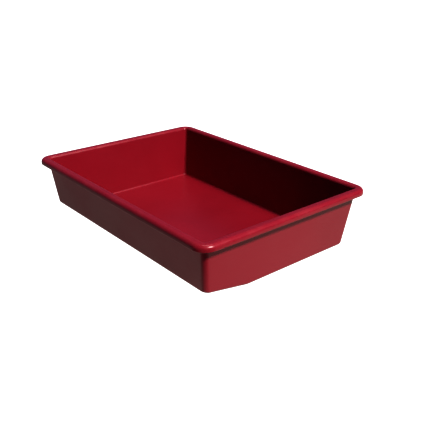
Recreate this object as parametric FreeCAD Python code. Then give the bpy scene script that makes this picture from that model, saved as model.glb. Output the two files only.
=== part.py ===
import FreeCAD, Part
import math
import os

# Developing tray: one thin-walled plastic moulding, for sheets of 5 x 7 inches (13 x 18 cm).
# Frame: origin at the bottom centre, +X along the long side, +Z up. The long side at -Y is the
# front, where the underside slopes up so that the tray can be rocked. All sizes are in millimetres.
# The moulding is written as the regions it is made of, which meet face to face without overlap.

# Overall size
LENGTH = 229.0  # along X, over the lips
WIDTH = 165.0  # along Y, over the lips
HEIGHT = 49.0  # from the flat underside to the top of the rim

# Wall, floor and corners
WALL = 1.6  # thickness of walls, floor, rim and lip
BASE_INSET = 11.8  # from the lip's outer face in to the foot of the walls, at the flat underside
CORNER_RADIUS = 4.0  # upright corners of the walls, outside
BASE_EDGE_RADIUS = 2.6  # turn from underside to wall, outside
FLOOR_EDGE_RADIUS = 1.8  # turn from floor to wall, inside
FLOOR_MARGIN = 1.0  # level strip of floor that belongs to the turned-up base edge

# Rim and lip
RIM_OVERHANG = 5.9  # from the walls' outer face out to the lip's outer face, at the top
RIM_CORNER_RADIUS = 11.0  # corners of the rim in plan, outside
RIM_OUTER_ROUND = 3.0  # rounding from the rim's top to the lip, outside
RIM_INNER_ROUND = 2.4  # rounding from the rim's top into the basin
LIP_DEPTH = 5.0  # from the top of the rim down to the lip's lower edge

# Slope of the underside and floor along the front
SLOPE_RUN = 39.0  # from the walls' foot line back to the break between slope and flat
SLOPE_RISE = 7.4  # height of the slope at the walls' foot line
BREAK_RADIUS = 14.0  # soft break between slope and flat, outside

HALF_LENGTH = LENGTH / 2
HALF_WIDTH = WIDTH / 2
DRAFT = (BASE_INSET - RIM_OVERHANG) / HEIGHT  # how far a wall leans out per unit of height
WALL_ACROSS = WALL * math.hypot(1.0, DRAFT)  # wall thickness, measured level
GRADIENT = SLOPE_RISE / SLOPE_RUN
BREAK_Y = -HALF_WIDTH + BASE_INSET + SLOPE_RUN
BAND = WALL + FLOOR_EDGE_RADIUS  # height of the turned-up base edge, above the underside
FLOOR_BORDER = BASE_INSET + WALL_ACROSS + FLOOR_EDGE_RADIUS + FLOOR_MARGIN  # floor panels lie inside
RIM_BAND = max(RIM_OUTER_ROUND, RIM_INNER_ROUND)  # height of the rim above walls and lip
GAP = RIM_OVERHANG - WALL  # open gap between lip and wall
GAP_CORNER_RADIUS = (CORNER_RADIUS + RIM_CORNER_RADIUS - WALL) / 2  # corners of the gap's middle line
FAR = LENGTH + WIDTH + HEIGHT  # well outside the tray
EPS = 1e-4


def vec(x, y, z):
    return FreeCAD.Vector(x, y, z)


def edges_where(shape, test):
    """Edges of a shape whose two ends pass a test."""
    return [e for e in shape.Edges if all(test(v.Point) for v in e.Vertexes)]


def rectangle(inset, z):
    """Closed rectangle at height z, a given distance in from the lip's outer faces."""
    x = HALF_LENGTH - inset
    y = HALF_WIDTH - inset
    corners = [vec(-x, -y, z), vec(x, -y, z), vec(x, y, z), vec(-x, y, z)]
    return Part.makePolygon(corners + corners[:1])


def is_upright(edge):
    """True for an edge that joins the bottom rectangle to the top one."""
    run = edge.Vertexes[-1].Point - edge.Vertexes[0].Point
    return abs(run.z) > 0.5 * run.Length


def prism_along_x(points):
    """Solid right across the tray whose outline is given by (y, z) points."""
    corners = [vec(-FAR, y, z) for y, z in points]
    outline = Part.makePolygon(corners + corners[:1])
    return Part.Face(outline).extrude(vec(2 * FAR, 0, 0))


def underside(lift):
    """(y, z) points of the underside's line, moved straight up: slope, break, flat."""
    sloped_lift = lift * math.hypot(1.0, GRADIENT)
    front_z = sloped_lift + GRADIENT * (BREAK_Y + FAR)
    # where the two lifted lines cross
    crossing = BREAK_Y + (sloped_lift - lift) / GRADIENT
    return [(-FAR, front_z), (crossing, lift), (FAR, lift)]


def block(inset_at_zero, corner_radius, lift, edge_radius, break_radius):
    """Solid block with drafted sides and rounded corners, whose bottom follows the underside."""
    top = HEIGHT
    inset_at_top = inset_at_zero - DRAFT * top
    frustum = Part.makeLoft([rectangle(inset_at_zero, 0), rectangle(inset_at_top, top)], True, True)
    line = underside(lift)
    below = prism_along_x(line + [(FAR, -FAR), (-FAR, -FAR)])
    solid = frustum.cut(below)

    crossing = line[1]
    break_edge = edges_where(
        solid, lambda p: abs(p.y - crossing[0]) < EPS and abs(p.z - crossing[1]) < EPS
    )
    solid = solid.makeFillet(break_radius, break_edge)
    solid = solid.makeFillet(corner_radius, [e for e in solid.Edges if is_upright(e)])

    low = edges_where(solid, lambda p: p.z < top - EPS)
    outline = [e for e in low if not is_across(e, crossing, break_radius)]
    return solid.makeFillet(edge_radius, outline)


def is_across(edge, crossing, break_radius):
    """True for the two edges that bound the soft break and run right across the bottom."""
    ends = [v.Point for v in edge.Vertexes]
    reach = break_radius * GRADIENT
    near_break = all(abs(p.y - crossing[0]) < reach for p in ends)
    return near_break and abs(ends[0].x - ends[-1].x) > WALL


def slab(inset, corner_radius, z_low, z_high, top_round):
    """Level slab with rounded corners in plan and a rounded top edge."""
    base = Part.Face(rectangle(inset, z_low)).extrude(vec(0, 0, z_high - z_low))
    base = base.makeFillet(corner_radius, [e for e in base.Edges if is_upright(e)])
    if top_round > 0:
        base = base.makeFillet(top_round, edges_where(base, lambda p: abs(p.z - z_high) < EPS))
    return base


def moulding():
    """The whole tray as one solid, before it is divided into its regions."""
    outer = block(BASE_INSET, CORNER_RADIUS, 0.0, BASE_EDGE_RADIUS, BREAK_RADIUS)
    core = block(
        BASE_INSET + WALL_ACROSS, CORNER_RADIUS - WALL, WALL, FLOOR_EDGE_RADIUS, BREAK_RADIUS + WALL
    )
    lip_foot = HEIGHT - LIP_DEPTH
    rim = slab(0.0, RIM_CORNER_RADIUS, lip_foot, HEIGHT, RIM_OUTER_ROUND)
    hollow = slab(WALL, RIM_CORNER_RADIUS - WALL, lip_foot, HEIGHT - WALL, RIM_OUTER_ROUND - WALL)
    tray = rim.cut(hollow).fuse(outer).removeSplitter().cut(core)
    inner_top = edges_where(
        tray,
        lambda p: abs(p.z - HEIGHT) < EPS
        and abs(p.x) < HALF_LENGTH - RIM_OVERHANG - EPS
        and abs(p.y) < HALF_WIDTH - RIM_OVERHANG - EPS,
    )
    return tray.makeFillet(RIM_INNER_ROUND, inner_top)


def plan_prism(points):
    """Solid of full height over an outline of (x, y) points."""
    corners = [vec(x, y, -FAR) for x, y in points]
    return Part.Face(Part.makePolygon(corners + corners[:1])).extrude(vec(0, 0, 2 * FAR))


def side_wedges():
    """The four parts of the plan, divided by 45 degree mitres through the corners."""
    reach = HALF_WIDTH
    x, y = HALF_LENGTH, HALF_WIDTH
    return {
        "front": plan_prism([(-x, -y), (x, -y), (x - reach, 0), (reach - x, 0)]),
        "back": plan_prism([(x, y), (-x, y), (reach - x, 0), (x - reach, 0)]),
        "left": plan_prism([(-x, y), (-x, -y), (reach - x, 0)]),
        "right": plan_prism([(x, -y), (x, y), (x - reach, 0)]),
    }


def level_box(z_low, z_high):
    """Everything between two heights."""
    corner = vec(-FAR, -FAR, z_low)
    return Part.makeBox(2 * FAR, 2 * FAR, z_high - z_low, corner)


def regions(tray):
    """The moulding's regions by name: floor, base edges, walls, rims and lips."""
    rim_foot = HEIGHT - RIM_BAND
    line = underside(BAND)
    band = prism_along_x(line + [(FAR, -FAR), (-FAR, -FAR)])
    inside_gap = slab(WALL + GAP / 2, GAP_CORNER_RADIUS, -FAR, FAR, 0.0)
    floor_zone = Part.Face(rectangle(FLOOR_BORDER, -FAR)).extrude(vec(0, 0, 2 * FAR))
    front_half = Part.makeBox(2 * FAR, FAR, 2 * FAR, vec(-FAR, BREAK_Y - FAR, -FAR))

    base = tray.common(band)
    floor = base.common(floor_zone)
    edge = base.cut(floor_zone)
    rim = tray.common(level_box(rim_foot, FAR))
    middle = tray.common(level_box(-FAR, rim_foot)).cut(band)
    wall = middle.common(inside_gap)
    lip = middle.cut(inside_gap)

    found = {"floor_slope": floor.common(front_half), "floor_flat": floor.cut(front_half)}
    for side, wedge in side_wedges().items():
        found["base_edge_" + side] = edge.common(wedge)
        found["wall_" + side] = wall.common(wedge)
        found["rim_" + side] = rim.common(wedge)
        found["lip_" + side] = lip.common(wedge)
    return found


def main():
    os.makedirs("parts", exist_ok=True)
    for name, shape in regions(moulding()).items():
        solids = shape.Solids
        if len(solids) != 1 or not solids[0].isValid():
            raise ValueError(f"{name} has {len(solids)} solids")
        solids[0].exportStep(f"parts/{name}.step")


main()
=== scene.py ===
import math

import bpy
import numpy as np
from mathutils import Euler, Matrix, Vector


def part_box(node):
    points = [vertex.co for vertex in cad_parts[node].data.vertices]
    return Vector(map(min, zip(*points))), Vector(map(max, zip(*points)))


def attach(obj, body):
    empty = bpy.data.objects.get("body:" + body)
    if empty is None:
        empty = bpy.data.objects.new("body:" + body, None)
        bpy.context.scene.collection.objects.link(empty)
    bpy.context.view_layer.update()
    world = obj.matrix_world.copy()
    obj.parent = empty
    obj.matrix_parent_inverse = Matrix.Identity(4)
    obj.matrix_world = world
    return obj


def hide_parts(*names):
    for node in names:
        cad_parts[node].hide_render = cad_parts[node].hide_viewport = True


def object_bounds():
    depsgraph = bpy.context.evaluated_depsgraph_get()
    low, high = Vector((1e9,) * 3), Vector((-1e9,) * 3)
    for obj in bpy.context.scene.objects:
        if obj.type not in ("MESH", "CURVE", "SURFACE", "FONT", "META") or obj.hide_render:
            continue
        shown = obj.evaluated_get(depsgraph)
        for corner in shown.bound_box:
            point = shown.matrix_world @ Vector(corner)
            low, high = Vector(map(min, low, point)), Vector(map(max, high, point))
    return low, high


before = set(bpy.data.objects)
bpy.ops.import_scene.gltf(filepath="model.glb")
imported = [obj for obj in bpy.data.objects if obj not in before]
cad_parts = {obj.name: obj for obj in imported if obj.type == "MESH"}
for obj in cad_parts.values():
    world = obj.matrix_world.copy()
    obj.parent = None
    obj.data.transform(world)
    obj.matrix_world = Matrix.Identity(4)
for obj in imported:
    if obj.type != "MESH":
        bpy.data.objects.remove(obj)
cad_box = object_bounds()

# All sizes are in metres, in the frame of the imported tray: +X along the long side, +Z up, and the
# front, where the underside slopes up, at -Y.
LOW, HIGH = cad_box
LENGTH = HIGH.x - LOW.x
WIDTH = HIGH.y - LOW.y
HEIGHT = HIGH.z
LIP_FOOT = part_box("lip_front")[0].z
BREAK_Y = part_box("floor_slope")[1].y

WALL = 0.0016  # thickness of walls, floor, rim and lip
BASE_INSET = 0.0118  # from the lip's outer face in to the foot of the walls, at the flat underside
RIM_OVERHANG = 0.0059  # from the walls' outer face out to the lip's outer face, at the top
CORNER_RADIUS = 0.0040  # upright corners of the walls, outside
RIM_CORNER_RADIUS = 0.0110  # corners of the rim in plan, outside
BASE_EDGE_RADIUS = 0.0026  # turn from underside to wall, outside
FLOOR_EDGE_RADIUS = 0.0018  # turn from floor to wall, inside
RIM_OUTER_ROUND = 0.0030  # rounding from the rim's top to the lip
RIM_INNER_ROUND = 0.0024  # rounding from the rim's top into the basin
LIP_EDGE_ROUND = 0.0007  # the two edges of the lip's foot
HOLLOW_ROUND = 0.0007  # turn from wall to rim, inside the lip
SLOPE_RUN = 0.0390  # from the walls' foot line back to the break between slope and flat
SLOPE_RISE = 0.0074  # height of the slope at the walls' foot line
BREAK_RADIUS = 0.0140  # soft break between slope and flat

DRAFT = (BASE_INSET - RIM_OVERHANG) / HEIGHT  # how far a wall leans out per unit of height
WALL_ACROSS = WALL * math.hypot(1.0, DRAFT)  # wall thickness, measured level
GRADIENT = SLOPE_RISE / SLOPE_RUN

# Small departures from the ideal form that a thin moulding cools with
WALL_BOW = 0.00025  # how far the middle of a wall pulls in
BOW_BELOW_LIP = 0.004  # the bow ends this far under the lip's foot
BOW_BAND = 0.012  # depth in from the walls' outer faces, at the top, that holds the whole wall
BOW_FADE = 0.004  # over which the bow fades in at the edge of that band
BOW_END = 0.010  # the bow ends this far from the corners
FLOOR_CROWN = 0.00020  # how far the middle of the floor rises
FLOOR_CEILING = 0.012  # what lies lower than this is floor or underside
GATE_RADIUS = 0.0042  # dish round the place where the plastic was fed in
GATE_DEPTH = 0.00045
GATE_BLUR = 0.00025  # softness of the dish's wall
STUB_RADIUS = 0.0012  # stub standing in the dish
STUB_HEIGHT = 0.7  # as a share of the dish's depth
STUB_BLUR = 0.00015

# How the skin is divided
FLOOR_BORDER = 0.006  # width of the rings of mesh that run round the floor
FLOOR_PATCH_RADIUS = 0.008  # corners of the innermost ring, in plan
LIKE_FOR_LIKE_X = 0.075  # stations nearer the middle than this stay at the same x on every ring
LIKE_FOR_LIKE_Y = 0.040
SIDE_STEPS = 34  # stations along a side, crowded towards its ends
EIGHTH_STEPS = 7  # steps of half a corner
FINE_REACH = 0.005  # reach of the close stations to either side of the middle and the break
FINE_SPACING = 0.0006
CLOSEST = 0.4  # stations nearer to each other than this share of the close spacing are merged
SETTLING_ROUNDS = 3  # how often a row's own rise and its place in plan are brought to agree
FULL_BEND = 0.0022  # a turn of the section of this radius or less counts as a full edge or hollow


# ---------------------------------------------------------------- shape of the moulding


def rise(y):
    """Height of the sloping underside: nothing behind the break, a straight slope in front of it,
    and a parabola that joins them over the width of the rounded break."""
    half = BREAK_RADIUS * math.tan(math.atan(GRADIENT) / 2)
    ahead = BREAK_Y - y
    blend = GRADIENT * (ahead + half) ** 2 / (4 * half)
    return np.where(ahead < -half, 0.0, np.where(ahead > half, GRADIENT * ahead, blend))


def clustered(steps):
    """Stations from 0 to 1 that crowd towards both ends: half of one minus the cosine."""
    return 0.5 - 0.5 * np.cos(np.pi * np.linspace(0, 1, steps + 1))


def round_corner(before, at, after, radius, steps):
    """Arc that rounds one corner of the section. Its centre lies on the bisector of the two runs,
    radius over the sine of half their angle away, and each arc point is written as the corner
    plus a share of each run, so that the columns beyond the first two follow by the same shares."""
    run_a = before - at
    run_b = after - at
    length_a = np.linalg.norm(run_a[:2])
    length_b = np.linalg.norm(run_b[:2])
    a = run_a[:2] / length_a
    b = run_b[:2] / length_b
    half = 0.5 * math.acos(np.clip(a @ b, -1, 1))
    turn = (math.pi / 2 - half) * np.linspace(-1, 1, steps + 1)
    along_bisector = radius / math.sin(half) - radius * np.cos(turn)
    across = radius * np.sin(turn)
    share_a = 0.5 * (along_bisector / math.cos(half) - across / math.sin(half)) / length_a
    share_b = 0.5 * (along_bisector / math.cos(half) + across / math.sin(half)) / length_b
    return at + share_a[:, None] * run_a + share_b[:, None] * run_b


def section():
    """The moulding's section as rows of (inset, height, corner radius in plan, share of the slope):
    from the floor, up the wall, over the rim, round the lip and down to the underside. It is a
    line of straight runs whose corners are rounded by arcs."""
    inner_foot = BASE_INSET + WALL_ACROSS - DRAFT * WALL
    inner_top = RIM_OVERHANG + WALL_ACROSS
    web = HEIGHT - WALL
    outer_top = BASE_INSET - DRAFT * web
    inner_radius = CORNER_RADIUS - WALL
    lip_radius = RIM_CORNER_RADIUS - WALL
    floor_start = inner_foot + FLOOR_EDGE_RADIUS + FLOOR_BORDER
    under_start = BASE_INSET + BASE_EDGE_RADIUS + FLOOR_BORDER
    # inset, height, plan radius, slope share, rounding, arc steps, steps of the run before
    corners = [
        (floor_start, WALL, FLOOR_PATCH_RADIUS, 1, 0, 0, 0),
        (inner_foot, WALL, inner_radius, 1, FLOOR_EDGE_RADIUS, 10, 4),
        (inner_top, HEIGHT, inner_radius, 0, RIM_INNER_ROUND, 10, 14),
        (0.0, HEIGHT, RIM_CORNER_RADIUS, 0, RIM_OUTER_ROUND, 10, 3),
        (0.0, LIP_FOOT, RIM_CORNER_RADIUS, 0, LIP_EDGE_ROUND, 4, 4),
        (WALL, LIP_FOOT, lip_radius, 0, LIP_EDGE_ROUND, 4, 3),
        (WALL, web, lip_radius, 0, RIM_OUTER_ROUND - WALL, 4, 3),
        (outer_top, web, CORNER_RADIUS, 0, HOLLOW_ROUND, 4, 3),
        (BASE_INSET, 0.0, CORNER_RADIUS, 1, BASE_EDGE_RADIUS, 10, 14),
        (under_start, 0.0, FLOOR_PATCH_RADIUS, 1, 0, 0, 4),
    ]
    corners = np.array(corners, float)
    place = corners[:, :4]
    arcs = [place[:1]]
    for i in range(1, len(corners) - 1):
        arcs.append(round_corner(*place[i - 1 : i + 2], corners[i, 4], int(corners[i, 5])))
    arcs.append(place[-1:])
    rows = []
    for i, arc in enumerate(arcs):
        if i:
            share = clustered(int(corners[i, 6]))[1:-1, None]
            rows.append(rows[-1][-1] + share * (arc[0] - rows[-1][-1]))
        rows.append(arc)
    return np.concatenate(rows)


def stations(half, near, spacing, around):
    """Stations along one side, from -half to half: crowded at the ends, with extra ones spaced
    evenly around the given places."""
    base = (2 * clustered(SIDE_STEPS) - 1) * half
    extra = [c + np.arange(-near, near + spacing / 2, spacing) for c in around]
    merged = np.unique(np.concatenate([base, *extra]).round(7))
    apart = np.concatenate([[True], np.diff(merged) > spacing * CLOSEST])
    merged = merged[apart & (np.abs(merged) < half - spacing)]
    return np.concatenate([[-half], merged, [half]])


def outline():
    """One turn round the tray, as columns of (x station, y station, direction of the corner arc),
    from the middle of the front left corner, counter-clockwise. Straight sides hold a direction
    and step along their stations; corners hold both stations and turn their direction. With them
    come the steps along a long and a short side, and half the length of their straight parts."""
    half_x = LENGTH / 2 - BASE_INSET - CORNER_RADIUS
    half_y = WIDTH / 2 - BASE_INSET - CORNER_RADIUS
    along = stations(half_x, FINE_REACH, FINE_SPACING, [0.0])
    across = stations(half_y, FINE_REACH, FINE_SPACING, [0.0, BREAK_Y])
    eighth = np.linspace(0, math.pi / 4, EIGHTH_STEPS + 1)[:-1]
    columns = []

    def corner(x, y, start):
        columns.append([np.full(eighth.shape, x), np.full(eighth.shape, y), start + eighth])

    def side(x, y, direction):
        x, y = np.broadcast_arrays(x, y)
        columns.append([x[:-1], y[:-1], np.full(len(x) - 1, direction)])

    quarter = math.pi / 2
    corner(-half_x, -half_y, 2.5 * quarter)
    side(along, -half_y, 3 * quarter)
    corner(half_x, -half_y, 3 * quarter)
    corner(half_x, -half_y, 3.5 * quarter)
    side(half_x, across, 0.0)
    corner(half_x, half_y, 0.0)
    corner(half_x, half_y, 0.5 * quarter)
    side(along[::-1], half_y, quarter)
    corner(-half_x, half_y, quarter)
    corner(-half_x, half_y, 1.5 * quarter)
    side(-half_x, across[::-1], 2 * quarter)
    corner(-half_x, -half_y, 2 * quarter)
    counts = [2 * len(eighth) + len(along) - 1, 2 * len(eighth) + len(across) - 1]
    return np.concatenate(columns, axis=1), counts, (half_x, half_y)


def spread(station, half_station, half, fixed):
    """Stations near the middle stay where they are; beyond them they stretch or shrink evenly so
    that the last one lands on this ring's own end of the straight side."""
    beyond = np.maximum(np.abs(station) - fixed, 0.0)
    stretch = (half - fixed) / (half_station - fixed)
    return np.sign(station) * (np.minimum(np.abs(station), fixed) + beyond * stretch)


def shell_points(rows, columns, halves):
    """Every point of the shell between floor and underside, as a grid of section rows by outline
    columns. Each ring is a rounded rectangle at the row's inset: straight sides at stations, and
    corners of the row's plan radius. Where the underside rises, a row goes up the drafted wall by
    its share of the rise, and so out by the draft."""
    inset, height, radius, share = (rows[:, i : i + 1] for i in range(4))
    station_x, station_y, direction = columns
    lift = np.zeros((len(rows), columns.shape[1]))
    for _ in range(SETTLING_ROUNDS):
        moved = inset - DRAFT * lift
        half_x = LENGTH / 2 - moved - radius
        half_y = WIDTH / 2 - moved - radius
        x = spread(station_x, halves[0], half_x, LIKE_FOR_LIKE_X) + radius * np.cos(direction)
        y = spread(station_y, halves[1], half_y, LIKE_FOR_LIKE_Y) + radius * np.sin(direction)
        lift = share * rise(y)
    return np.stack([x, y, height + lift], axis=-1)


def bow(points):
    """Walls pull in a little between rim, foot and corners, as a moulding does when it cools: a
    parabola along the side times a parabola up the wall."""
    x, y, z = points[..., 0], points[..., 1], points[..., 2]
    inner_x = LENGTH / 2 - RIM_OVERHANG
    inner_y = WIDTH / 2 - RIM_OVERHANG
    up = np.clip(z / (LIP_FOOT - BOW_BELOW_LIP), 0, 1)
    mid = 4 * up * (1 - up)
    near_end = np.clip((np.abs(x) - inner_x + BOW_BAND) / BOW_FADE, 0, 1)
    near_side = np.clip((np.abs(y) - inner_y + BOW_BAND) / BOW_FADE, 0, 1)
    end = near_end * mid * np.clip(1 - (y / (inner_y - BOW_END)) ** 2, 0, 1)
    side = near_side * mid * np.clip(1 - (x / (inner_x - BOW_END)) ** 2, 0, 1)
    points[..., 0] -= WALL_BOW * np.sign(x) * end
    points[..., 1] -= WALL_BOW * np.sign(y) * side


def crown(points):
    """Floor and underside domed up by a hair: the product of two squared parabolas."""
    x = points[..., 0] / (LENGTH / 2 - BASE_INSET)
    y = points[..., 1] / (WIDTH / 2 - BASE_INSET)
    low = points[..., 2] < FLOOR_CEILING
    dome = np.clip(1 - x**2, 0, 1) ** 2 * np.clip(1 - y**2, 0, 1) ** 2
    points[..., 2] += FLOOR_CROWN * dome * low


def patch(ring, counts):
    """Fills a closed ring with a grid. The ring's four sides run from one corner's middle to the
    next, and each inner point is the Coons sum: the blend of the two sides, plus the blend of the
    other two, less the blend of the four corners."""
    n, m = counts
    front = ring[: n + 1]
    right = ring[n : n + m + 1]
    back = ring[n + m : 2 * n + m + 1][::-1]
    left = np.concatenate([ring[2 * n + m :], ring[:1]])[::-1]
    u = (front[:, 0] - front[0, 0]) / (front[-1, 0] - front[0, 0])
    v = (right[:, 1] - right[0, 1]) / (right[-1, 1] - right[0, 1])
    u = u[:, None, None]
    v = v[None, :, None]
    sides = (1 - v) * front[:, None] + v * back[:, None] + (1 - u) * left[None] + u * right[None]
    start = (1 - v) * front[0] + v * back[0]
    end = (1 - v) * front[-1] + v * back[-1]
    return sides - ((1 - u) * start + u * end)


def gate_mark(points):
    """The mark where the plastic was fed in, at the middle of the underside: a shallow round dish
    with a smooth wall, and a small stub standing in it that stays above the bench."""
    distance = np.hypot(points[..., 0], points[..., 1])
    dish = 1 / (1 + np.exp((distance - GATE_RADIUS) / GATE_BLUR))
    stub = 1 / (1 + np.exp((distance - STUB_RADIUS) / STUB_BLUR))
    points[..., 2] += GATE_DEPTH * (dish - STUB_HEIGHT * stub)


def bending(rows):
    """How tightly the section turns at each row, as one over the radius: positive where it bends
    round an outer edge, negative in an inner turn."""
    run = np.diff(rows[:, :2], axis=0)
    length = np.linalg.norm(run, axis=1)
    angle = np.unwrap(np.arctan2(run[:, 1], run[:, 0]))
    bend = np.zeros(len(rows))
    bend[1:-1] = np.diff(angle) / (0.5 * (length[1:] + length[:-1]))
    return bend


def quads(ids):
    """Four-cornered faces between the points of a grid of point numbers."""
    corners = [ids[:-1, :-1], ids[1:, :-1], ids[1:, 1:], ids[:-1, 1:]]
    return np.stack(corners, axis=-1).reshape(-1, 4)


def moulding_mesh():
    """The tray as one closed skin: the shell's grid, wrapped round, and a grid each to fill the
    floor and the underside. Two layers on the points say how far each lies on an outer edge and
    in an inner turn, from how tightly the section bends there."""
    rows = section()
    columns, counts, halves = outline()
    shell = shell_points(rows, columns, halves)
    count, around = shell.shape[:2]

    def filled(ring):
        grid = patch(ring, counts)
        grid[..., 2] = rise(grid[..., 1])
        return grid

    floor = filled(shell[0])
    floor[..., 2] += WALL
    under = filled(shell[-1])
    bow(shell)
    crown(shell)
    crown(floor)
    crown(under)
    gate_mark(under)

    bend = bending(rows)
    edge = np.clip(bend * FULL_BEND, 0, 1)
    hollow = np.clip(-bend * FULL_BEND, 0, 1)

    # number every point once: the shell's grid, then the inner points of each patch
    n, m = counts
    shell_id = np.arange(count * around).reshape(count, around)

    def patch_ids(ring_ids, first):
        ids = np.full((n + 1, m + 1), -1)
        ids[:, 0] = ring_ids[: n + 1]
        ids[n, :] = ring_ids[n : n + m + 1]
        ids[:, m] = ring_ids[n + m : 2 * n + m + 1][::-1]
        ids[0, :] = np.concatenate([ring_ids[2 * n + m :], ring_ids[:1]])[::-1]
        inner = ids[1:-1, 1:-1]
        inner[:] = first + np.arange(inner.size).reshape(inner.shape)
        return ids

    floor_id = patch_ids(shell_id[0], count * around)
    under_id = patch_ids(shell_id[-1], count * around + (n - 1) * (m - 1))
    grids = [shell, floor[1:-1, 1:-1], under[1:-1, 1:-1]]
    points = np.concatenate([grid.reshape(-1, 3) for grid in grids])

    wrapped = np.concatenate([shell_id, shell_id[:, :1]], axis=1)
    faces = np.concatenate([quads(wrapped), quads(floor_id), quads(under_id)[:, ::-1]])
    extra = len(points) - count * around
    layers = {
        "edge": np.concatenate([np.repeat(edge, around), np.zeros(extra)]),
        "hollow": np.concatenate([np.repeat(hollow, around), np.zeros(extra)]),
    }
    return points, faces, layers


def mesh_object(name, points, faces, layers):
    """Smooth-shaded object of points and faces, with named layers of one value per point."""
    mesh = bpy.data.meshes.new(name)
    mesh.from_pydata(points.tolist(), [], faces.tolist())
    for layer, values in layers.items():
        attribute = mesh.attributes.new(layer, "FLOAT", "POINT")
        attribute.data.foreach_set("value", values.astype(np.float32))
    mesh.polygons.foreach_set("use_smooth", np.ones(len(mesh.polygons), bool))
    mesh.update()
    made = bpy.data.objects.new(name, mesh)
    bpy.context.scene.collection.objects.link(made)
    return made


# ---------------------------------------------------------------- material nodes


def socket_in(group, name, kind, value=None):
    made = group.interface.new_socket(name, in_out="INPUT", socket_type=kind)
    if value is not None:
        made.default_value = value


def node(tree, kind, **settings):
    made = tree.nodes.new(kind)
    for name, value in settings.items():
        setattr(made, name, value)
    return made


def math_node(tree, operation, a, b=None, clamp=False):
    made = node(tree, "ShaderNodeMath", operation=operation, use_clamp=clamp)
    for socket, value in zip(made.inputs, (a, b)):
        plug(tree, value, socket)
    return made.outputs[0]


def plug(tree, value, socket):
    """Links an output into an input, or sets the input to a plain value."""
    if isinstance(value, bpy.types.NodeSocket):
        tree.links.new(value, socket)
    elif value is not None:
        socket.default_value = value


def plug_all(tree, made, values):
    """Plugs several values or links into a node's inputs, by name."""
    for name, value in values.items():
        plug(tree, value, made.inputs[name])


def ramp(tree, value, low, high, to_low=0.0, to_high=1.0):
    """Smooth step of a value between two limits."""
    made = node(tree, "ShaderNodeMapRange", interpolation_type="SMOOTHSTEP")
    plug_all(
        tree, made, {"Value": value, "From Min": low, "From Max": high, "To Min": to_low, "To Max": to_high}
    )
    return made.outputs["Result"]


def noise(tree, vector, scale, detail=2.0, roughness=0.5):
    made = node(tree, "ShaderNodeTexNoise")
    plug_all(tree, made, {"Vector": vector, "Scale": scale, "Detail": detail, "Roughness": roughness})
    return made.outputs["Fac"]


def mapped(tree, vector, scale, turn=(0, 0, 0)):
    made = node(tree, "ShaderNodeMapping")
    plug(tree, vector, made.inputs["Vector"])
    made.inputs["Scale"].default_value = scale
    made.inputs["Rotation"].default_value = turn
    return made.outputs["Vector"]


def new_group(name, inputs, outputs):
    group = bpy.data.node_groups.new(name, "ShaderNodeTree")
    for given in inputs:
        socket_in(group, *given)
    for given in outputs:
        group.interface.new_socket(given, in_out="OUTPUT", socket_type="NodeSocketFloat")
    start = group.nodes.new("NodeGroupInput")
    end = group.nodes.new("NodeGroupOutput")
    return group, start.outputs, end.inputs


def moulded_skin_group():
    """Height of a polished moulding's skin: a broad ripple and a fine orange peel, added."""
    group, given, out = new_group(
        "moulded_skin",
        [
            ("Vector", "NodeSocketVector"),
            ("Ripple Scale", "NodeSocketFloat", 30.0),
            ("Ripple Depth", "NodeSocketFloat", 1.0),
            ("Peel Scale", "NodeSocketFloat", 900.0),
            ("Peel Depth", "NodeSocketFloat", 0.1),
        ],
        ["Height"],
    )
    ripple = noise(group, given["Vector"], given["Ripple Scale"], 1.0)
    ripple = math_node(group, "MULTIPLY", ripple, given["Ripple Depth"])
    peel = noise(group, given["Vector"], given["Peel Scale"], 2.0)
    peel = math_node(group, "MULTIPLY", peel, given["Peel Depth"])
    plug(group, math_node(group, "ADD", ripple, peel), out["Height"])
    return group


STREAKS = ((0.35, 0.035), (1.2, 0.05), (2.5, 0.045))  # turn in radians, squeeze along the streak
STREAK_DEPTH = 0.15  # squeeze of the streaks upwards
SCRATCH_PATCHES = 38.0  # scale of the patches that scratches lie in
SCRATCH_FULL = 0.75  # noise value at which a patch is fully scratched


def scratch_group():
    """Fine scratches: noise stretched into long streaks, of which only the thin lines where it
    crosses its middle value are kept, and those only in patches."""
    group, given, out = new_group(
        "scratches",
        [
            ("Vector", "NodeSocketVector"),
            ("Density", "NodeSocketFloat", 260.0),
            ("Width", "NodeSocketFloat", 0.012),
            ("Cover", "NodeSocketFloat", 0.5),
        ],
        ["Mask"],
    )
    total = None
    for turn, squeeze in STREAKS:
        streak = mapped(group, given["Vector"], (1.0, squeeze, STREAK_DEPTH), (0, 0, turn))
        wave = noise(group, streak, given["Density"], 1.0)
        off = math_node(group, "ABSOLUTE", math_node(group, "SUBTRACT", wave, 0.5))
        line = ramp(group, off, given["Width"], 0.0)
        turned = mapped(group, given["Vector"], (1, 1, 1), (0.4, 0.2, turn))
        where = noise(group, turned, SCRATCH_PATCHES, 2.0)
        kept = math_node(group, "MULTIPLY", line, ramp(group, where, given["Cover"], SCRATCH_FULL))
        total = kept if total is None else math_node(group, "MAXIMUM", total, kept)
    plug(group, total, out["Mask"])
    return group


WEAR_FROM, WEAR_FULL = 0.42, 0.72  # noise values between which an edge goes from whole to rubbed


def edge_wear_group():
    """Rubbed edges: the edge layer, broken up by noise so that it wears in patches."""
    group, given, out = new_group(
        "edge_wear",
        [
            ("Vector", "NodeSocketVector"),
            ("Edge", "NodeSocketFloat", 0.0),
            ("Patch Scale", "NodeSocketFloat", 60.0),
            ("Amount", "NodeSocketFloat", 0.5),
        ],
        ["Mask"],
    )
    patches = noise(group, given["Vector"], given["Patch Scale"], 4.0, 0.6)
    worn = math_node(group, "MULTIPLY", given["Edge"], ramp(group, patches, WEAR_FROM, WEAR_FULL))
    plug(group, math_node(group, "MULTIPLY", worn, given["Amount"], clamp=True), out["Mask"])
    return group


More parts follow.
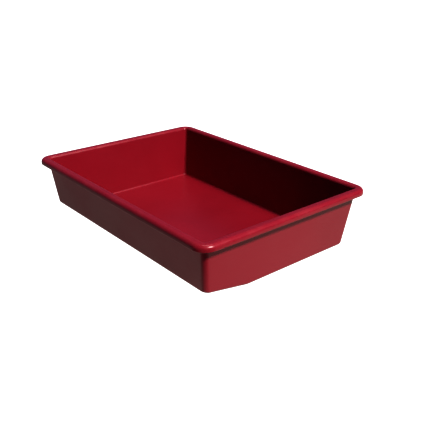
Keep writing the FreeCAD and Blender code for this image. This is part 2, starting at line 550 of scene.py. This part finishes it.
SMEAR_FROM, SMEAR_FULL = 0.36, 0.70  # noise values between which the skin goes from clean to smeared
SPECK_PATCHES = 130.0  # scale of the patches that specks lie in
SPECKS_FROM, SPECKS_FULL = 0.58, 0.66  # noise values between which such a patch begins


def smudge_group():
    """Uneven gloss: cloudy smears, and dull specks of dried spots and dust, in patches."""
    group, given, out = new_group(
        "smudges",
        [
            ("Vector", "NodeSocketVector"),
            ("Cloud Scale", "NodeSocketFloat", 22.0),
            ("Speck Scale", "NodeSocketFloat", 420.0),
            ("Speck Size", "NodeSocketFloat", 0.16),
        ],
        ["Cloud", "Specks"],
    )
    broad = noise(group, given["Vector"], given["Cloud Scale"], 5.0, 0.55)
    plug(group, ramp(group, broad, SMEAR_FROM, SMEAR_FULL), out["Cloud"])
    cells = node(group, "ShaderNodeTexVoronoi")
    plug(group, given["Vector"], cells.inputs["Vector"])
    plug(group, given["Speck Scale"], cells.inputs["Scale"])
    dot = ramp(group, cells.outputs["Distance"], given["Speck Size"], 0.0)
    spotted = noise(group, given["Vector"], SPECK_PATCHES, 1.0)
    few = ramp(group, spotted, SPECKS_FROM, SPECKS_FULL)
    plug(group, math_node(group, "MULTIPLY", dot, few), out["Specks"])
    return group


GROUPS = {
    "skin": moulded_skin_group(),
    "scratches": scratch_group(),
    "wear": edge_wear_group(),
    "smudges": smudge_group(),
}


def use_group(tree, name, vector, **values):
    made = node(tree, "ShaderNodeGroup", node_tree=GROUPS[name])
    plug(tree, vector, made.inputs["Vector"])
    for socket, value in values.items():
        plug(tree, value, made.inputs[socket.replace("_", " ")])
    return made.outputs


def mix_colour(tree, share, a, b):
    made = node(tree, "ShaderNodeMix", data_type="RGBA")
    plug(tree, share, made.inputs["Factor"])
    for name, value in (("A", a), ("B", b)):
        socket = [s for s in made.inputs if s.name == name and s.type == "RGBA"][0]
        plug(tree, value, socket)
    return [s for s in made.outputs if s.type == "RGBA"][0]


RED_DEEP = (0.250, 0.0175, 0.0330, 1)
RED_LIGHT = (0.274, 0.0195, 0.0370, 1)
RED_RUBBED = (0.30, 0.045, 0.055, 1)
DUST = (0.36, 0.17, 0.16, 1)
DUST_COVER = 0.25
CLOUD_SCALE = 14.0  # of the drift between the two reds
WEAR_AMOUNT = 0.5
ROUGHNESS_CLEAN, ROUGHNESS_SMEARED = 0.30, 0.36
# what each of these adds to the roughness where it is full
SCRATCH_DULLS = 0.08
WEAR_DULLS = 0.14
SPECK_DULLS = 0.30
HOLLOW_DULLS = 0.03
SCRATCH_CUT = 0.02  # depth of a scratch, as a share of the skin's relief
SKIN_STRENGTH = 0.25  # how strongly the skin's relief tilts the surface
SKIN_RELIEF = 0.0003  # height of the relief
PLASTIC_IOR = 1.47


def red_plastic():
    """Deep red moulded plastic, coloured through and glossy. The edges are rubbed slightly paler,
    dust lies on it in specks, the inner turns are a little duller, and the gloss varies with
    smears and fine scratches."""
    made = bpy.data.materials.new("red_plastic")
    made.use_nodes = True
    tree = made.node_tree
    shader = tree.nodes["Principled BSDF"]
    place = node(tree, "ShaderNodeTexCoord").outputs["Object"]
    edge = node(tree, "ShaderNodeAttribute", attribute_name="edge").outputs["Fac"]
    hollow = node(tree, "ShaderNodeAttribute", attribute_name="hollow").outputs["Fac"]

    smudges = use_group(tree, "smudges", place)
    scratches = use_group(tree, "scratches", place)["Mask"]
    worn = use_group(tree, "wear", place, Edge=edge, Amount=WEAR_AMOUNT)["Mask"]
    skin = use_group(tree, "skin", place)["Height"]

    clouds = ramp(tree, noise(tree, place, CLOUD_SCALE, 3.0), 0.3, 0.7)
    body = mix_colour(tree, clouds, RED_DEEP, RED_LIGHT)
    rubbed = mix_colour(tree, worn, body, RED_RUBBED)
    dust_share = math_node(tree, "MULTIPLY", smudges["Specks"], DUST_COVER)
    plug(tree, mix_colour(tree, dust_share, rubbed, DUST), shader.inputs["Base Color"])

    rough = ramp(tree, smudges["Cloud"], 0.0, 1.0, ROUGHNESS_CLEAN, ROUGHNESS_SMEARED)
    dulled_by = (
        (scratches, SCRATCH_DULLS),
        (worn, WEAR_DULLS),
        (smudges["Specks"], SPECK_DULLS),
        (hollow, HOLLOW_DULLS),
    )
    for mask, amount in dulled_by:
        rough = math_node(tree, "ADD", rough, math_node(tree, "MULTIPLY", mask, amount), clamp=True)
    plug(tree, rough, shader.inputs["Roughness"])

    height = math_node(tree, "SUBTRACT", skin, math_node(tree, "MULTIPLY", scratches, SCRATCH_CUT))
    bump = node(tree, "ShaderNodeBump")
    plug_all(tree, bump, {"Strength": SKIN_STRENGTH, "Distance": SKIN_RELIEF, "Height": height})
    plug(tree, bump.outputs["Normal"], shader.inputs["Normal"])
    shader.inputs["IOR"].default_value = PLASTIC_IOR
    return made


# ---------------------------------------------------------------- the tray


points, faces, layers = moulding_mesh()
tray = mesh_object("tray_moulding", points, faces, layers)
tray.data.materials.append(red_plastic())
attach(tray, "root")
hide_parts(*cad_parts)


# ---------------------------------------------------------------- floor, light and camera


def mix_shader(tree, share, a, b):
    made = node(tree, "ShaderNodeMixShader")
    for socket, value in zip(made.inputs, (share, a, b)):
        plug(tree, value, socket)
    return made.outputs[0]


FLOOR_HALF = 6.0
FLOOR_GLOW = 0.86  # share of the floor's look that doesn't depend on the lights
FLOOR_SHOWN = (1.0, 1.0, 1.0, 1)
FLOOR_THROWN = (0.30, 0.30, 0.30, 1)  # what it throws back as soft light
MIRRORED_DIM = (0.40, 0.39, 0.365, 1)
# painted light: the floor as the plastic mirrors it, lit up towards the key light's side
MIRRORED_PAINTED_LIGHT = (0.74, 0.72, 0.65, 1)
# painted shade: the floor as the plastic mirrors it, dark in front, towards the camera
MIRRORED_PAINTED_SHADE = (0.08, 0.08, 0.08, 1)
PAINTED_LIGHT_FROM, PAINTED_LIGHT_FULL = -0.25, 0.16  # along x + y, in metres
PAINTED_SHADE_FROM, PAINTED_SHADE_FULL = 0.17, 0.24  # along x - y, in metres


def pale_floor():
    """Plain pale floor. It looks evenly lit, with only a faint shadow, and throws back less light
    than it shows, so that the shaded walls stay dark. Where the plastic mirrors it, it carries
    painted light towards the key light's side and painted shade in front, towards the camera.
    It can be seen through from below, so that the underside can be looked at."""
    made = bpy.data.materials.new("pale_floor")
    made.use_nodes = True
    tree = made.node_tree
    shader = tree.nodes["Principled BSDF"]
    shader.inputs["Roughness"].default_value = 0.9
    shader.inputs["Specular IOR Level"].default_value = 0.1
    rays = node(tree, "ShaderNodeLightPath").outputs
    place = node(tree, "ShaderNodeSeparateXYZ")
    plug(tree, node(tree, "ShaderNodeTexCoord").outputs["Object"], place.inputs[0])
    towards_key = math_node(tree, "ADD", place.outputs["X"], place.outputs["Y"])
    towards_camera = math_node(tree, "SUBTRACT", place.outputs["X"], place.outputs["Y"])
    # painted pool of light on the floor, seen only in reflections, towards the key light's side
    bright = ramp(tree, towards_key, PAINTED_LIGHT_FROM, PAINTED_LIGHT_FULL)
    mirrored = mix_colour(tree, bright, MIRRORED_DIM, MIRRORED_PAINTED_LIGHT)
    # painted shade on the floor, seen only in reflections, in front towards the camera
    dark = ramp(tree, towards_camera, PAINTED_SHADE_FROM, PAINTED_SHADE_FULL)
    mirrored = mix_colour(tree, dark, mirrored, MIRRORED_PAINTED_SHADE)
    thrown = mix_colour(tree, rays["Is Glossy Ray"], FLOOR_THROWN, mirrored)
    shown = mix_colour(tree, rays["Is Camera Ray"], thrown, FLOOR_SHOWN)
    plug(tree, shown, shader.inputs["Base Color"])
    glow = node(tree, "ShaderNodeEmission")
    plug(tree, shown, glow.inputs["Color"])
    lit = mix_shader(tree, FLOOR_GLOW, shader.outputs[0], glow.outputs[0])
    below = node(tree, "ShaderNodeNewGeometry").outputs["Backfacing"]
    clear = node(tree, "ShaderNodeBsdfTransparent").outputs[0]
    surface = tree.nodes["Material Output"].inputs["Surface"]
    plug(tree, mix_shader(tree, below, lit, clear), surface)
    return made


corners = np.array([(-1, -1, 0), (1, -1, 0), (1, 1, 0), (-1, 1, 0)], float) * FLOOR_HALF
floor = mesh_object("studio_floor", corners, np.array([[0, 1, 2, 3]]), {})
floor.data.materials.append(pale_floor())


LIGHT_AIM = (0, 0, 0.02)


def area_light(name, at, size, watts, colour):
    """Square light that faces the tray."""
    data = bpy.data.lights.new(name, "AREA")
    data.shape = "SQUARE"
    data.size = size
    data.energy = watts
    data.color = colour
    made = bpy.data.objects.new(name, data)
    made.location = at
    facing = Vector(LIGHT_AIM) - Vector(at)
    made.rotation_euler = facing.to_track_quat("-Z", "Y").to_euler()
    bpy.context.scene.collection.objects.link(made)


area_light("key", at=(2.66, 0.42, 2.84), size=0.44, watts=156.0, colour=(1.0, 0.97, 0.93))
area_light("overhead", at=(-0.30, 0.60, 2.60), size=0.90, watts=11.0, colour=(1.0, 0.98, 0.96))

WORLD_SHOWN = (0.95, 0.95, 0.95, 1)
WORLD_MIRRORED = (0.12, 0.145, 0.225, 1)
SKY_LOW = (0.015, 0.025, 0.055, 1)
SKY_HIGH = (0.015, 0.030, 0.06, 1)


def studio_world():
    """Pale to the camera, dim and blue as the plastic mirrors it, and dimmer still as the soft
    light that it throws on the object."""
    world = bpy.data.worlds.new("studio")
    bpy.context.scene.world = world
    world.use_nodes = True
    tree = world.node_tree
    tree.nodes.clear()
    up = node(tree, "ShaderNodeSeparateXYZ")
    plug(tree, node(tree, "ShaderNodeTexCoord").outputs["Generated"], up.inputs[0])
    sky = mix_colour(tree, ramp(tree, up.outputs["Z"], 0.1, 0.9), SKY_LOW, SKY_HIGH)
    rays = node(tree, "ShaderNodeLightPath").outputs
    mirrored = mix_colour(tree, rays["Is Glossy Ray"], sky, WORLD_MIRRORED)
    shown = mix_colour(tree, rays["Is Camera Ray"], mirrored, WORLD_SHOWN)
    background = node(tree, "ShaderNodeBackground")
    plug(tree, shown, background.inputs["Color"])
    plug(tree, background.outputs[0], node(tree, "ShaderNodeOutputWorld").inputs["Surface"])


studio_world()

CAMERA_AT = (0.3786, -0.2950, 0.2222)
CAMERA_HEADING = math.radians(49.89)  # turned from +Y towards -X
CAMERA_TILT = math.radians(23.86)  # below the horizon
CAMERA_ROLL = math.radians(0.35)
LENS = 52.08

camera = bpy.data.objects.new("camera", bpy.data.cameras.new("camera"))
camera.location = CAMERA_AT
turn = Euler((math.pi / 2 - CAMERA_TILT, 0, CAMERA_HEADING)).to_matrix()
camera.rotation_euler = (turn @ Euler((0, 0, CAMERA_ROLL)).to_matrix()).to_euler()
camera.data.lens = LENS
camera.data.clip_start = 0.01
bpy.context.scene.collection.objects.link(camera)
bpy.context.scene.camera = camera
bpy.context.scene.view_settings.view_transform = "Standard"
bpy.context.scene.view_settings.look = "Very High Contrast"
